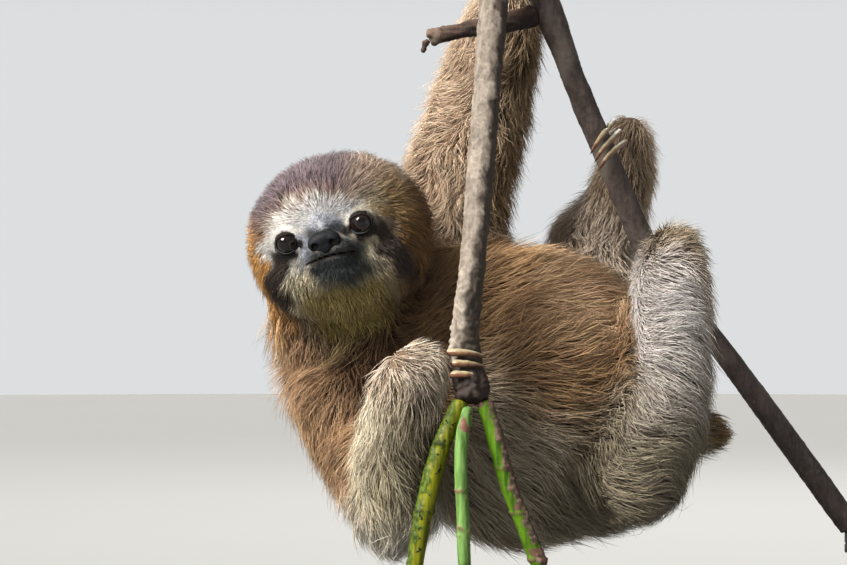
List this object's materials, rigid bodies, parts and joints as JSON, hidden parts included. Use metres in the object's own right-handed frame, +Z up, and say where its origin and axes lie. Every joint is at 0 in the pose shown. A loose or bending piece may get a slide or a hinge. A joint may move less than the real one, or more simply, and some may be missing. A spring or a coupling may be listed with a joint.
{
  "type": "three-toed sloth display model",
  "caption": "Life-size still model of a young three-toed sloth hanging from a cut branch and vine, on a flat display base with two short rods.",
  "frame": {"origin": "centre of the display base's underside", "axes": "+Z up; +X from the animal's head towards its rump; +Y away from the side that the face looks to"},
  "size_m": [0.33, 0.21, 0.3644],
  "materials": {
    "face_coat": "short soft fur, cream brow, dark brown eye stripes, black-brown muzzle",
    "brown_coat": "shaggy rust-brown fur",
    "trunk_coat": "coarse fur, rust-brown above, grey-cream and olive below",
    "limb_coat": "long coarse fur, tan and pale grey-cream",
    "nose_skin": "bare black pebbled skin, moist",
    "eye": "dark brown, wet gloss",
    "claw_horn": "ivory horn, red-brown underneath, semi-gloss",
    "dark_bark": "dark brown bark, rough",
    "vine_bark": "pale grey-tan bark with ring ridges, rough",
    "mottled_shoot": "yellow-green skin with dark spots, satin",
    "green_shoot": "fresh green skin, satin",
    "stand_steel": "black powder coat, satin"
  },
  "bodies": {
    "root": {"claw_foot_left_1": "claw_horn", "claw_foot_left_2": "claw_horn", "claw_foot_left_3": "claw_horn", "claw_foot_right_1": "claw_horn", "claw_foot_right_2": "claw_horn", "claw_foot_right_3": "claw_horn", "claw_hand_left_1": "claw_horn", "claw_hand_left_2": "claw_horn", "claw_hand_left_3": "claw_horn", "claw_hand_right_1": "claw_horn", "claw_hand_right_2": "claw_horn", "claw_hand_right_3": "claw_horn", "eye_left": "eye", "eye_right": "eye", "foot_left": "limb_coat", "foot_right": "limb_coat", "forearm_left": "limb_coat", "forearm_right": "limb_coat", "hand_left": "limb_coat", "hand_right": "limb_coat", "head": "face_coat", "neck": "brown_coat", "nose": "nose_skin", "perch_branch": "dark_bark", "perch_shoot_left": "mottled_shoot", "perch_shoot_middle": "green_shoot", "perch_shoot_right": "green_shoot", "perch_stub": "dark_bark", "perch_twig": "dark_bark", "perch_vine": "vine_bark", "shin_left": "limb_coat", "shin_right": "limb_coat", "stand_base": "stand_steel", "stand_rod_branch": "stand_steel", "stand_rod_vine": "stand_steel", "tail": "brown_coat", "thigh_left": "trunk_coat", "thigh_right": "trunk_coat", "trunk": "trunk_coat", "upper_arm_left": "limb_coat", "upper_arm_right": "limb_coat"}
  },
  "joints": []
}
